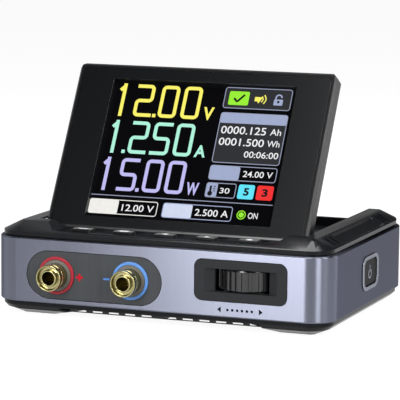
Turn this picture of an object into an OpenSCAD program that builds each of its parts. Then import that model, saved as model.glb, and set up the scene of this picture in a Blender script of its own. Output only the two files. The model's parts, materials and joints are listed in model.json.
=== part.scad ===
// Compact bench power supply with a flip-up display
// Millimetres, +Z up. The origin is on the surface that the feet stand on, under the
// middle of the unit with its sockets. The sockets and the wheel face -Y.

/* [Case] */
// Width of the aluminium band, left to right
body_w = 106; // [102:1:130]
// Depth of the aluminium band, front to back
body_d = 76; // [74:1:96]
// Height of the aluminium band
band_h = 19.3; // [19.3:0.1:24]
// Plan radius of the band's corners
corner_r = 8; // [7:0.5:9]
// Wall of the aluminium band
band_wall = 1.6; // [1.4:0.1:1.8]
// How far the plastic covers are set in from the band's face
cover_inset = 1; // [0.8:0.1:1.3]
// Height of the corner feet under the base
foot_h = 2; // [1.6:0.1:3]
// Height of the base cover below the band
base_h = 2.4; // [2.2:0.1:3]
// Open joint between the band and the top cover's lip
shadow_gap = 0.45; // [0.3:0.05:0.6]
// Height of the top cover's upright lip
lip_h = 1.1; // [0.9:0.1:1.4]
// Rise of the slope from the lip to the top of the rim
rim_rise = 2.75; // [2.5:0.05:3.2]
// Plan width of that slope
slope_run = 5.5; // [5:0.1:6]
// Width of the flat on top of the side rims
rim_flat = 4.2; // [3.8:0.1:5]
// Wall of the moulded covers
cover_wall = 1.4; // [1.2:0.1:1.6]

/* [Flip-up display] */
// Angle at which the display stands, from lying flat
screen_open = 60; // [0:1:90]
// Thickness of the display housing
screen_t = 5; // [5:0.1:6]
// Gap between the display housing and each side of its tray
screen_gap = 0.7; // [0.6:0.1:1]
// Gap behind the display housing when it lies flat
finger_gap = 3.8; // [3.5:0.1:6]
// How far the closed display lies under the top of the rim
screen_drop = 0.2; // [0.1:0.1:0.5]
// Width of the window in the display housing
window_w = 59; // [56:0.5:62]
// Height of the window in the display housing
window_h = 45.4; // [43:0.1:46]
// Distance from the hinge axis to the window's near edge
window_edge = 3; // [2.8:0.1:4]
// Radius of each hinge pin
pin_r = 1.3; // [1.2:0.05:1.4]

/* [Front panel] */
// Distance between the two output sockets
socket_pitch = 23.65; // [19:0.05:24]
// Radius of the sockets' bores, for 4 mm plugs
socket_bore_r = 2; // [1.9:0.05:2.1]
// How far the sockets stand out of the front
socket_out = 6.3; // [5:0.1:8]
// Height of the dark plate around the sockets
plate_h = 14.2; // [13.4:0.1:15]
// Radius of the thumbwheel
wheel_r = 9.5; // [8:0.1:10]
// Height of the thumbwheel
wheel_h = 6.1; // [5:0.1:6.3]
// Number of ribs around the thumbwheel
wheel_ribs = 30; // [20:1:36]
// Number of keys under the display
key_count = 5; // [3:1:5]
// Width of each key
key_w = 6.3; // [5.5:0.1:7]
// Depth of each key, front to back
key_d = 3.65; // [3:0.05:4]
// Distance between neighbouring keys
key_pitch = 13.1; // [10:0.1:13.5]
// Travel of the keys
key_travel = 0.4; // [0.3:0.05:0.5]
// Travel of the power button
button_travel = 0.5; // [0.3:0.05:0.6]

/* [Inside] */
// Thickness of the main circuit board
board_t = 1.6; // [1.2:0.1:1.8]
// Radius of the fan's impeller
fan_r = 12; // [10:0.1:12.5]
// Number of blades on the impeller
fan_blades = 15; // [9:1:19]
// Number of fins on the heat sink
fin_count = 9; // [5:1:11]

/* [Hidden] */
$fn = 64;

// Running, sliding and seating clearances
run_gap = 0.05;
slip_gap = 0.1;
panel_gap = 0.15;
over = 1;

// Heights of the case
base_z = foot_h;
band_z = base_z + base_h;
band_top = band_z + band_h;
lip_z = band_top + shadow_gap;
slope_z = lip_z + lip_h;
rear_run = 3.6;
rim_z = slope_z + rim_rise;
floor_t = 1.6;
floor_top = base_z + floor_t;
front_y = -body_d / 2;
side_x = body_w / 2;
band_inner_x = side_x - band_wall;
edge_break = 0.35;

// The covers plug into the band with a neck
cover_w = body_w - 2 * cover_inset;
cover_d = body_d - 2 * cover_inset;
cover_r = corner_r - cover_inset;
neck_w = body_w - 2 * band_wall - 2 * slip_gap;
neck_d = body_d - 2 * band_wall - 2 * slip_gap;
neck_r = corner_r - band_wall - slip_gap;
neck_h = 1.7;
neck_in_x = neck_w / 2 - cover_wall;
neck_in_y = neck_d / 2 - cover_wall;

// Tray that takes the closed display
tray_x = side_x - cover_inset - slope_run - rim_flat;
tray_back = neck_in_y;
tray_floor = rim_z - screen_drop - screen_t - 1.3;

// Hinge: the axis lies in the middle of the display housing, whose near edge is a
// half round about it
hinge_r = screen_t / 2;
hinge_z = rim_z - screen_drop - hinge_r;
hinge_y = front_y + 15.71;
ledge_back = hinge_y - hinge_r - 0.41;
tray_front = ledge_back - 1.7;
screen_w = 2 * (tray_x - screen_gap);
screen_len = tray_back - finger_gap - hinge_y;
knuckle_l = 4.4;
knuckle_x = screen_w / 2 - knuckle_l;
pin_len = 9.6;
pin_in_x = knuckle_x - 0.6;
frame_wall = 1.6;
frame_break = 0.75;
frame_cut = 1.55;
module_t = 2;
module_w = window_w + 9.5;
module_h = window_h + 3.2;
display_pcb_t = 0.6;
glass_z = hinge_r - frame_wall;
screen_skin = 0.6;
screen_screw_x = screen_w / 2 - 3.2;

// Ledge and keys
ledge_z = rim_z - 2.15;
ledge_t = 1.3;
ledge_x = 34.2;
ledge_flare = 3.3;
key_y = hinge_y - 9.05;
key_top = ledge_z + 0.65;
well_depth = 0.35;
well_x = max(33, (key_count - 1) / 2 * key_pitch + key_w / 2 + 1.5);
well_front = key_y - 3.7;
well_back = key_y + 4.3;
key_flange_t = 0.6;
key_board_z = 20.6 + rim_z - 28;
key_board_t = 1;
key_peg_x = 1.5 * key_pitch;
key_peg_r = 1.6;
key_screw_r = 0.6;
key_stem_top = ledge_z - ledge_t - run_gap - key_flange_t - key_travel - run_gap;

// Front panel, measured from the case's left and right sides
panel_z = band_z + 8.65;
socket_x = [-side_x + 21.1, -side_x + 21.1 + socket_pitch];
plate_end = 9.68;
plate_x = (socket_x[0] + socket_x[1]) / 2;
plate_w = socket_pitch + 2 * plate_end;
flange_t = 1;
flange_lap = 1.2;
socket_z = panel_z;
socket_head_r = 3.92;
socket_body_r = 3.6;
socket_rear_y = front_y + 12.4;
socket_stud_y = socket_rear_y + 3;
stud_r = 1.5;
ring_r = 5.65;
ring_inner_r = 4.8;

// Thumbwheel and its bezel
wheel_x = side_x - 27;
wheel_proud = 0.3;
wheel_y = front_y - wheel_proud + wheel_r;
wheel_z = panel_z + 2.05;
rib_out = 0.55;
axle_r = 1.5;
bezel_w = 28.3;
bezel_h = 12.05;
bezel_r = 2.3;
bezel_z = panel_z + 2.02;
window_l = 22.4;
slot_l = 16.8;
slot_h = wheel_h + 0.75;
ramp_d = 1.4;

// Power button
button_y = 1;
button_z = panel_z + 0.85;
button_ring_w = 15.4;
button_ring_h = 10.4;
button_ring_r = 3.4;
button_ring_t = 1.25;
button_ring_lap = 0.45;
button_tube = 0.6;

// Inside
board_z = floor_top + 2.4;
board_top = board_z + board_t;
board_x = neck_in_x - 0.7;
board_y = neck_in_y - 0.7;
post_x = side_x - 12.55;
post_y = body_d / 2 - 12.6;
post_r = 2.5;
post_split = board_top + 2.4;
screw_r = 1;
screw_head_r = 1.9;
board_screw_at = [[side_x - 44, front_y + 10.5], [-side_x + 45, -front_y - 7]];
fan_at = [-side_x + 29, front_y + 41];
fan_side = 2 * fan_r + 6;
fan_h = 7;
fan_wall = 1;
sink_x = [-side_x + 17, -side_x + 41];
sink_y = [fan_at[1] + fan_side / 2 + 1.5, body_d / 2 - 5];
sink_h = 9;
chip_t = 1;
rear_w = body_w - 22;
rear_h = 12;
rear_z = panel_z - 0.4;
vent_count = 8;
vent_pitch = 3.3;

// Colours of the finishes
anodised = [0.47, 0.49, 0.58];
black = [0.13, 0.13, 0.14];
dark_grey = [0.27, 0.28, 0.29];
gold = [0.85, 0.74, 0.42];
steel = [0.72, 0.73, 0.75];
green = [0.05, 0.32, 0.2];

// Outline of a rounded rectangle about the origin
module rounded(w, d, r) {
    square([w - 2 * r, d], center = true);
    square([w, d - 2 * r], center = true);
    for (x = [-1, 1], y = [-1, 1])
        translate([x * (w / 2 - r), y * (d / 2 - r)])
            circle(r);
}

// Outline with half-round ends
module stadium(w, h) {
    square([w - h, h], center = true);
    for (x = [-1, 1])
        translate([x * (w - h) / 2, 0])
            circle(h / 2);
}

// Rounded plate standing on z = 0
module slab(w, d, r, h) {
    linear_extrude(h)
        rounded(w, d, r);
}

// Rounded plate whose sides draw in by c over its height
module taper(w, d, r, h, c) {
    for (x = [-1, 1], y = [-1, 1])
        translate([x * (w / 2 - r), y * (d / 2 - r), 0])
            cylinder(r1 = r, r2 = r - c, h = h);
    translate([-w / 2 + r, 0, 0])
        rotate([90, 0, 90])
            linear_extrude(w - 2 * r)
                polygon([[-d / 2, 0], [d / 2, 0], [d / 2 - c, h], [-d / 2 + c, h]]);
    translate([0, d / 2 - r, 0])
        rotate([90, 0, 0])
            linear_extrude(d - 2 * r)
                polygon([[-w / 2, 0], [w / 2, 0], [w / 2 - c, h], [-w / 2 + c, h]]);
}

// Box between two corners
module block(low, high) {
    translate(low)
        cube(high - low);
}

// Moves a shape drawn in x and y, and extruded along z, onto the front: its z runs
// inwards from the plane y
module on_front(x, y, z) {
    translate([x, y, z])
        rotate([90, 0, 0])
            mirror([0, 0, 1])
                children();
}

// The same, onto the rear: its z runs inwards from the plane y
module on_rear(x, y, z) {
    translate([x, y, z])
        rotate([90, 0, 0])
            children();
}

// Places what is drawn about the band's middle. The sockets stand out in front, so the
// middle of the whole unit lies ahead of it.
module in_case() {
    translate([0, socket_out / 2, 0])
        children();
}

// Places the display's pieces: x along the hinge, y away from it, z out of the face
module display_place() {
    translate([0, hinge_y, hinge_z])
        rotate([screen_open, 0, 0])
            children();
}

// Both sides of the case
module both_sides() {
    children();
    mirror([1, 0, 0])
        children();
}

// Four case screws, under the feet
module at_posts() {
    for (x = [-1, 1], y = [-1, 1])
        translate([x * post_x, y * post_y, 0])
            children();
}

// Flange of a panel insert, kept between the necks of the two covers
module flange_outline(z) {
    intersection() {
        children();
        translate([0, (band_z + band_top) / 2 - z])
            square([body_w, band_h - 2 * neck_h - 2 * slip_gap], center = true);
    }
}

module housing_band() {
    color(anodised)
        in_case()
            difference() {
                union() {
                    translate([0, 0, band_z + edge_break])
                        slab(body_w, body_d, corner_r, band_h - 2 * edge_break);
                    translate([0, 0, band_top - edge_break])
                        taper(body_w, body_d, corner_r, edge_break, edge_break);
                    translate([0, 0, band_z + edge_break])
                        mirror([0, 0, 1])
                            taper(body_w, body_d, corner_r, edge_break, edge_break);
                }
                translate([0, 0, band_z - over])
                    slab(body_w - 2 * band_wall, body_d - 2 * band_wall, corner_r - band_wall,
                         band_h + 2 * over);
                on_front(plate_x, front_y - over, panel_z)
                    linear_extrude(band_wall + 2 * over)
                        stadium(plate_w + 2 * panel_gap, plate_h + 2 * panel_gap);
                on_front(wheel_x, front_y - over, bezel_z)
                    slab(bezel_w + 2 * panel_gap, bezel_h + 2 * panel_gap, bezel_r + panel_gap,
                         band_wall + 2 * over);
                on_rear(0, body_d / 2 + over, rear_z)
                    slab(rear_w + 2 * panel_gap, rear_h + 2 * panel_gap, 3 + panel_gap,
                         band_wall + 2 * over);
                translate([side_x + over, button_y, button_z])
                    rotate([90, 0, -90])
                        slab(button_ring_w - 2 * button_ring_lap + 0.2,
                             button_ring_h - 2 * button_ring_lap + 0.2,
                             button_ring_r - button_ring_lap + 0.1, band_wall + 2 * over);
            }
}

// Sloping rim: the slope at its rear is steeper, and its rear corners are cut upright
module rim_body() {
    extra = slope_run - rear_run;
    lean = rear_run / rim_rise;
    intersection() {
        translate([0, extra / 2, slope_z])
            taper(cover_w, cover_d + extra, cover_r, rim_rise, slope_run);
        translate([0, 0, slope_z - over])
            slab(cover_w, cover_d, cover_r, rim_rise + 2 * over);
        translate([-body_w / 2, cover_d / 2, slope_z])
            rotate([90, 0, 90])
                linear_extrude(body_w)
                    polygon([[-body_d, -over], [over * lean, -over],
                             [-rear_run - over * lean, rim_rise + over], [-body_d, rim_rise + over]]);
    }
}

// Long recess on the slope of a side rim, drawn on the slope's own plane
recess_w = 4.9;
recess_l = 39.6;
recess_h = 0.7;
recess_draw = 0.9;

module slope_recess() {
    slope_angle = atan(rim_rise / slope_run);
    slope_len = sqrt(rim_rise * rim_rise + slope_run * slope_run);
    translate([side_x - cover_inset, 0, slope_z])
        rotate([0, slope_angle, 0]) {
            // its walls draw in towards the floor
            translate([-slope_len / 2 + 0.1, 0, over])
                mirror([0, 0, 1])
                    taper(recess_w + 2 * recess_draw * over, recess_l + 2 * recess_draw * over,
                          1 + recess_draw * over, recess_h + over, recess_draw * (recess_h + over));
            for (y = [-26.2, -22.7, 21.9, 24, 26.1])
                translate([-slope_len / 2 - 0.1, y, -1])
                    linear_extrude(over + 1)
                        stadium(4.1, 1.15);
        }
}

// Hollow under a side rim
module rim_pocket(y0, y1) {
    wall = 1.5;
    angle = atan(rim_rise / slope_run);
    top_z = rim_z - wall / cos(angle);
    x0 = tray_x + cover_wall;
    x1 = side_x - cover_inset - slope_run;
    translate([0, y1, 0])
        rotate([90, 0, 0])
            linear_extrude(y1 - y0)
                polygon([[x0, lip_z - 4], [neck_in_x, lip_z - 4],
                         [neck_in_x, top_z - (neck_in_x - x1) * tan(angle)],
                         [x1, top_z], [x0, top_z]]);
}

module top_cover() {
    color(black)
        in_case()
            difference() {
                union() {
                    translate([0, 0, band_top - neck_h])
                        difference() {
                            slab(neck_w, neck_d, neck_r, neck_h + shadow_gap);
                            translate([0, 0, -over])
                                slab(2 * neck_in_x, 2 * neck_in_y, neck_r - cover_wall,
                                     neck_h + shadow_gap + 2 * over);
                        }
                    translate([0, 0, lip_z])
                        slab(cover_w, cover_d, cover_r, lip_h);
                    rim_body();
                    block([-tray_x - cover_wall, ledge_back - cover_wall, tray_floor - cover_wall],
                          [tray_x + cover_wall, neck_d / 2, lip_z]);
                    for (x = [-1, 1])
                        translate([x * (tray_x + 2.4), hinge_y, hinge_z])
                            rotate([0, 90, 0])
                                cylinder(r = pin_r + 1.2, h = 4.8, center = true);
                    at_posts()
                        translate([0, 0, post_split])
                            cylinder(r = post_r, h = tray_floor - cover_wall / 2 - post_split);
                    for (x = [-1, 1])
                        translate([x * key_peg_x, key_y + 0.4, key_board_z + key_board_t])
                            cylinder(r = key_peg_r,
                                     h = ledge_z - ledge_t / 2 - key_board_z - key_board_t);
                }
                // tray for the display, open at the back above the lip
                block([-tray_x, ledge_back, tray_floor], [tray_x, tray_back, rim_z + over]);
                block([-tray_x, tray_front, ledge_z], [tray_x, ledge_back + over, rim_z + over]);
                block([-tray_x, tray_back - over, lip_z], [tray_x, body_d, rim_z + over]);
                // front of the rim, cut down to the ledge between two sloping ends
                translate([0, tray_front + over, 0])
                    rotate([90, 0, 0])
                        linear_extrude(body_d)
                            polygon([[-ledge_x, ledge_z], [ledge_x, ledge_z],
                                     [ledge_x + 2 * ledge_flare, ledge_z + 2 * (rim_z - ledge_z)],
                                     [-ledge_x - 2 * ledge_flare, ledge_z + 2 * (rim_z - ledge_z)]]);
                // key well and the key holes
                block([-well_x, well_front, ledge_z - well_depth], [well_x, well_back, ledge_z + over]);
                for (i = [0 : key_count - 1])
                    translate([key_x(i), key_y, ledge_z - ledge_t - over])
                        slab(key_w + 2 * slip_gap, key_d + 2 * slip_gap, 0.8 + slip_gap,
                             ledge_t + 2 * over);
                // space under the ledge for the key board
                difference() {
                    block([-neck_in_x + 6, -neck_in_y, 0],
                          [neck_in_x - 6, ledge_back - cover_wall, ledge_z - ledge_t]);
                    for (x = [-1, 1])
                        translate([x * key_peg_x, key_y + 0.4, key_board_z + key_board_t])
                            cylinder(r = key_peg_r, h = rim_z);
                }
                for (x = [-1, 1])
                    translate([x * key_peg_x, key_y + 0.4, key_board_z])
                        cylinder(r = key_screw_r + 0.02, h = key_board_t + 2.2);
                both_sides() {
                    slope_recess();
                    rim_pocket(hinge_y + 6, neck_in_y - 5);
                }
                // seats of the hinge tube and the hinge pin
                translate([-pin_in_x - pin_len, hinge_y, hinge_z])
                    rotate([0, 90, 0])
                        cylinder(r = pin_r + 0.02, h = pin_len);
                translate([pin_in_x, hinge_y, hinge_z])
                    rotate([0, 90, 0])
                        cylinder(r = pin_r + 0.02, h = pin_len);
                // way down for the display cable
                block([-pin_in_x - pin_len - 3, hinge_y - 1.3, 0],
                      [-pin_in_x - pin_len + 0.01, hinge_y + 1.3, hinge_z + 1]);
                at_posts()
                    translate([0, 0, post_split - over])
                        cylinder(r = screw_r + run_gap, h = 8);
            }
}

function key_x(i) = (i - (key_count - 1) / 2) * key_pitch;

// Corner foot: a low bump whose sides slope down to the pad
foot_size = 14.9;
foot_top = 24.4;
foot_in = 1.6;
pad_t = 0.9;
pad_size = 12;
foot_bottom = 0.35;

module corner_foot() {
    hull() {
        translate([cover_w / 2 - foot_in - foot_top / 2, cover_d / 2 - foot_in - foot_top / 2,
                   base_z - 0.35])
            slab(foot_top, foot_top, cover_r - 0.4, 0.45, $fn = 32);
        translate([post_x - 0.5, post_y - 0.5, foot_bottom])
            slab(foot_size, foot_size, 3.6, 0.2, $fn = 32);
    }
}

// Front vents: mouths under the band, a channel behind them that is open to the
// underside, and slots up into the case
vent_w = 3.5;
mouth_low = 0.2;
mouth_high = 0.9;

module front_vents() {
    first = 3.9;
    step = 5.2;
    last = first + 5 * step;
    for (side = [-1, 1]) {
        for (i = [0 : 5])
            translate([side * (first + i * step), front_y, 0]) {
                block([-vent_w / 2, -over, base_z + mouth_low],
                      [vent_w / 2, 3, base_z + mouth_high]);
                block([-vent_w / 2, 4.5, base_z - over], [vent_w / 2, 7.5, floor_top + over]);
            }
        translate([side * (first + last) / 2, front_y, 0])
            block([-(last - first + vent_w) / 2, 2.6, base_z - 2 * over],
                  [(last - first + vent_w) / 2, 7.5, base_z + 1.05]);
    }
}

module base_cover() {
    bevel = 1.1;
    bevel_in = 1;
    color(black)
        in_case()
            difference() {
                union() {
                    translate([0, 0, base_z + bevel])
                        slab(cover_w, cover_d, cover_r, base_h - bevel);
                    translate([0, 0, base_z + bevel])
                        mirror([0, 0, 1])
                            taper(cover_w, cover_d, cover_r, bevel, bevel_in);
                    translate([0, 0, band_z])
                        slab(neck_w, neck_d, neck_r, neck_h);
                    for (x = [0, 1], y = [0, 1])
                        mirror([x, 0, 0])
                            mirror([0, y, 0])
                                corner_foot();
                }
                difference() {
                    translate([0, 0, floor_top])
                        slab(2 * neck_in_x, 2 * neck_in_y, neck_r - cover_wall, band_h);
                    at_posts() {
                        cylinder(r = post_r + 0.9, h = board_z);
                        cylinder(r = post_r, h = post_split);
                    }
                    for (at = board_screw_at)
                        translate([at[0], at[1], 0])
                            cylinder(r = 2.4, h = board_z);
                }
                front_vents();
                // fan intake
                for (i = [-3 : 3])
                    translate([fan_at[0] + i * 3.2, fan_at[1], base_z - over])
                        linear_extrude(floor_t + 2 * over)
                            rotate(90)
                                stadium(18 - abs(i) * 2, 1.8);
                at_posts() {
                    cylinder(r = screw_r + run_gap, h = band_top);
                    cylinder(r = screw_head_r + slip_gap, h = base_z + 0.4);
                    translate([0, 0, foot_bottom - over])
                        slab(pad_size + 2 * slip_gap, pad_size + 2 * slip_gap, 2 + slip_gap,
                             pad_t + over - foot_bottom);
                }
                for (at = board_screw_at)
                    translate([at[0], at[1], base_z + 0.6])
                        cylinder(r = screw_r + run_gap, h = board_z);
            }
}

module foot_pads() {
    color([0.08, 0.08, 0.09])
        in_case()
            at_posts()
                slab(pad_size, pad_size, 2, pad_t);
}

// Cap screw pointing up from z = 0, its head below
module screw_up(r, head_r, head_h, length) {
    difference() {
        translate([0, 0, -head_h])
            cylinder(r = head_r, h = head_h);
        translate([0, 0, -head_h - over])
            cylinder(r = head_r * 0.45, h = head_h / 2 + over, $fn = 6);
    }
    cylinder(r = r, h = length);
}

module cover_screws() {
    color(steel)
        in_case()
            at_posts()
                translate([0, 0, base_z + 0.4])
                    screw_up(screw_r, screw_head_r, 1.4, post_split + 5 - base_z);
}

// Panel insert: fills its opening in the band and laps behind the wall
module panel_insert(z) {
    linear_extrude(band_wall)
        children(0);
    translate([0, 0, band_wall])
        linear_extrude(flange_t)
            flange_outline(z)
                children(1);
}

module rear_panel() {
    color(dark_grey)
        in_case()
            difference() {
                on_rear(0, body_d / 2, rear_z)
                    panel_insert(rear_z) {
                        rounded(rear_w, rear_h, 3);
                        rounded(rear_w + 2 * flange_lap, rear_h + 2 * flange_lap, 3 + flange_lap);
                    }
                // its flange stays under the tray
                block([-side_x, 0, tray_floor - cover_wall - slip_gap],
                      [side_x, body_d / 2 - band_wall, rim_z]);
                translate([jack_x, 0, jack_z])
                    rotate([-90, 0, 0])
                        cylinder(r = jack_r + slip_gap, h = body_d);
                for (x = port_x)
                    on_rear(x, body_d, port_z)
                        slab(port_w + 2 * slip_gap, port_h + 2 * slip_gap,
                             port_h / 2 + slip_gap - 0.05, body_d / 2 + 4);
                // outlet behind the heat sink
                for (i = [0 : vent_count - 1])
                    on_rear((sink_x[0] + sink_x[1]) / 2 + (i - (vent_count - 1) / 2) * vent_pitch,
                            body_d / 2 + over, rear_z)
                        linear_extrude(band_wall + flange_t + 2 * over)
                            rotate(90)
                                stadium(9, 1.7);
            }
}

module socket_panel() {
    color(dark_grey)
        in_case()
            difference() {
                on_front(plate_x, front_y, panel_z)
                    panel_insert(panel_z) {
                        stadium(plate_w, plate_h);
                        stadium(plate_w + 2 * flange_lap, plate_h + 2 * flange_lap);
                    }
                for (x = socket_x)
                    on_front(x, front_y - over, socket_z)
                        cylinder(r = collar_r + run_gap, h = band_wall + flange_t + 2 * over);
            }
}

// Insulating collar: a cup with a raised ring in front, and a tube through the plate
collar_r = 4.35;
collar_face = 0.3;
collar_ring = 0.6;

module collar(x) {
    on_front(x, front_y, socket_z)
        difference() {
            union() {
                translate([0, 0, -collar_ring])
                    cylinder(r = ring_r, h = collar_ring);
                cylinder(r = collar_r, h = band_wall + flange_t + 0.2);
            }
            translate([0, 0, -collar_ring - over])
                cylinder(r = ring_inner_r, h = collar_ring - collar_face + over);
            translate([0, 0, -over])
                cylinder(r = socket_body_r + run_gap, h = 2 * over + band_wall + flange_t);
        }
}

module positive_collar() {
    color([0.75, 0.13, 0.17])
        in_case()
            collar(socket_x[0]);
}

module negative_collar() {
    color([0.36, 0.55, 0.86])
        in_case()
            collar(socket_x[1]);
}

module socket_washers() {
    color([0.55, 0.54, 0.52])
        in_case()
            for (x = socket_x)
                on_front(x, front_y - collar_face, socket_z)
                    mirror([0, 0, 1])
                        difference() {
                            cylinder(r = ring_inner_r - slip_gap, h = 0.4);
                            translate([0, 0, -over])
                                cylinder(r = socket_body_r + run_gap, h = 3);
                        }
}

// Turned socket: a grooved head, a second flange, and a threaded body with a stud
module socket(x) {
    shoulder = socket_out - 3;
    groove = 1.3;
    color(gold)
        in_case()
            on_front(x, front_y - socket_out, socket_z)
                rotate_extrude()
                    polygon([
                        [socket_bore_r, 0.1], [socket_bore_r + 0.1, 0], [socket_bore_r + 0.38, 0],
                        [socket_bore_r + 0.5, 0.12], [socket_bore_r + 0.55, groove],
                        [socket_head_r - 0.6, groove], [socket_head_r - 0.45, 0.1],
                        [socket_head_r - 0.35, 0], [socket_head_r - 0.12, 0],
                        [socket_head_r, 0.12], [socket_head_r, 1.5], [socket_head_r - 0.15, 1.65],
                        [socket_body_r - 0.45, 1.75], [socket_body_r - 0.45, 2.4],
                        [socket_head_r - 0.2, 2.5],
                        [socket_head_r - 0.2, shoulder], [socket_body_r, shoulder + 0.25],
                        [socket_body_r, socket_rear_y - front_y + socket_out],
                        [stud_r, socket_rear_y - front_y + socket_out],
                        [stud_r, socket_stud_y - front_y + socket_out],
                        [0, socket_stud_y - front_y + socket_out],
                        [0, socket_rear_y - front_y + socket_out - 1.2],
                        [socket_bore_r, socket_rear_y - front_y + socket_out - 1.2]
                    ]);
}

module positive_socket() {
    socket(socket_x[0]);
}

module negative_socket() {
    socket(socket_x[1]);
}

module socket_nuts() {
    nut_af = 9.8;
    color(steel)
        in_case()
            for (x = socket_x)
                on_front(x, front_y + band_wall + flange_t + 0.2, socket_z)
                    difference() {
                        cylinder(r = nut_af / sqrt(3), h = 2.2, $fn = 6);
                        translate([0, 0, -over])
                            cylinder(r = socket_body_r + run_gap, h = 5);
                    }
}

// Solder tag: an eye on the stud and a leg down to the circuit board
module socket_tags() {
    color(gold)
        in_case()
            for (x = socket_x)
                difference() {
                    union() {
                        on_front(x, socket_rear_y, socket_z)
                            cylinder(r = 3, h = 0.6);
                        block([x - 1.8, socket_rear_y, board_top],
                              [x + 1.8, socket_rear_y + 0.6, socket_z]);
                        block([x - 1.8, socket_rear_y, board_top],
                              [x + 1.8, socket_rear_y + 3, board_top + 0.6]);
                    }
                    on_front(x, socket_rear_y - over, socket_z)
                        cylinder(r = stud_r + run_gap, h = 3);
                }
}

// Bezel: a window with a sloping ramp at each end of the wheel's slot
module wheel_bezel() {
    color(dark_grey)
        in_case()
            difference() {
                on_front(wheel_x, front_y, bezel_z)
                    panel_insert(bezel_z) {
                        rounded(bezel_w, bezel_h, bezel_r);
                        rounded(bezel_w + 2 * flange_lap, bezel_h + 2 * flange_lap,
                                bezel_r + flange_lap);
                    }
                intersection() {
                    translate([wheel_x, front_y, wheel_z - slot_h])
                        linear_extrude(2 * slot_h) {
                            polygon([
                                [-window_l / 2 - 0.2, -0.1], [window_l / 2 + 0.2, -0.1],
                                [slot_l / 2, ramp_d], [-slot_l / 2, ramp_d]
                            ]);
                            translate([-slot_l / 2, ramp_d - 0.1])
                                square([slot_l, band_wall + flange_t]);
                        }
                    on_front(wheel_x, front_y - over, wheel_z)
                        slab(window_l, slot_h, 0.6, body_d / 4);
                }
            }
}

// Ribbed wheel on an upright axle
module thumb_wheel() {
    color(black)
        in_case()
            translate([wheel_x, wheel_y, wheel_z - wheel_h / 2])
                difference() {
                    union() {
                        translate([0, 0, 0.3])
                            linear_extrude(wheel_h - 0.6)
                                union() {
                                    circle(wheel_r - rib_out);
                                    for (i = [0 : wheel_ribs - 1])
                                        rotate(i * 360 / wheel_ribs)
                                            polygon([
                                                [-0.62, 2 - wheel_r], [-0.36, -wheel_r],
                                                [0.36, -wheel_r], [0.62, 2 - wheel_r]
                                            ]);
                                }
                        cylinder(r = wheel_r - rib_out - 0.35, h = wheel_h);
                    }
                    translate([0, 0, wheel_h - 1.2])
                        difference() {
                            cylinder(r = wheel_r - 2.4, h = 2);
                            cylinder(r = 3, h = 2);
                        }
                    translate([0, 0, -over])
                        cylinder(r = axle_r + run_gap, h = wheel_h + 2 * over);
                }
}

// Encoder under the wheel, with the axle and its retaining head
module wheel_encoder() {
    low_z = wheel_z - wheel_h / 2;
    near = max(-5.5, front_y + band_wall + flange_t + 0.5 - wheel_y);
    color(black)
        in_case()
            translate([wheel_x, wheel_y, 0]) {
                translate([0, 0, board_top])
                    linear_extrude(low_z - 0.45 - board_top)
                        difference() {
                            translate([-6, near])
                                square([12, 5.5 - near]);
                            for (x = [-1, 1])
                                translate([x * 6, 0])
                                    square([1, 3], center = true);
                        }
                translate([0, 0, board_top])
                    cylinder(r = 3, h = low_z - 0.1 - board_top);
                translate([0, 0, board_top])
                    cylinder(r = axle_r, h = low_z + wheel_h + 0.3 - board_top);
                translate([0, 0, low_z + wheel_h + 0.1])
                    cylinder(r = 2.3, h = 0.4);
            }
}

// Outline turned onto the right side: its z runs inwards from the plane x
module on_right(x, y, z) {
    translate([x, y, z])
        rotate([90, 0, -90])
            children();
}

ring_out = 0.35;
button_gap = 0.15;
button_w = button_ring_w - 2 * button_ring_t - 2 * button_gap;
button_h = button_ring_h - 2 * button_ring_t - 2 * button_gap;
button_r = button_ring_r - button_ring_t - button_gap;
button_flange_x = band_inner_x - button_tube - run_gap;

module power_bezel() {
    color([0.8, 0.81, 0.85])
        in_case()
            on_right(side_x + ring_out, button_y, button_z)
                difference() {
                    union() {
                        slab(button_ring_w, button_ring_h, button_ring_r, ring_out);
                        slab(button_ring_w - 2 * button_ring_lap, button_ring_h - 2 * button_ring_lap,
                             button_ring_r - button_ring_lap, ring_out + band_wall + button_tube);
                    }
                    translate([0, 0, -over])
                        slab(button_ring_w - 2 * button_ring_t, button_ring_h - 2 * button_ring_t,
                             button_ring_r - button_ring_t, band_wall + 3 * over);
                }
}

module power_button() {
    color(black)
        in_case()
            union() {
                on_right(side_x - 0.05, button_y, button_z)
                    slab(button_w, button_h, button_r, side_x - 0.05 - button_flange_x);
                on_right(button_flange_x, button_y, button_z)
                    slab(button_w + 1.8, button_h + 1.8, button_r + 0.9, 0.8);
                on_right(button_flange_x - 0.8, button_y, button_z)
                    cylinder(r = 1.6, h = 1);
            }
}

// Upright switch board behind the button
module power_switch() {
    board_face = button_flange_x - 0.8 - 1 - button_travel - run_gap - 2.6;
    color(green)
        in_case()
            block([board_face - 1, button_y - 8, board_top], [board_face, button_y + 8, button_z + 5]);
    color(steel)
        in_case()
            block([board_face, button_y - 3, button_z - 3],
                  [board_face + 1.9, button_y + 3, button_z + 3]);
    color(black)
        in_case()
            on_right(board_face + 2.6, button_y, button_z)
                cylinder(r = 1.6, h = 1);
}

// Key cap with a flange that keeps it under the ledge
module key_cap(i) {
    flange_z = ledge_z - ledge_t - run_gap;
    color(black)
        in_case()
            translate([key_x(i), key_y, 0]) {
                translate([0, 0, flange_z - key_flange_t])
                    slab(key_w + 1.1, key_d + 1.1, 1.2, key_flange_t);
                translate([0, 0, flange_z - key_flange_t / 2])
                    slab(key_w, key_d, 0.8, key_top - 0.25 - flange_z + key_flange_t / 2);
                translate([0, 0, key_top - 0.25])
                    taper(key_w, key_d, 0.8, 0.25, 0.25);
            }
}

module key_1() {
    key_cap(0);
}

module key_2() {
    key_cap(1);
}

module key_3() {
    key_cap(2);
}

module key_4() {
    key_cap(3);
}

module key_5() {
    key_cap(4);
}

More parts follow.
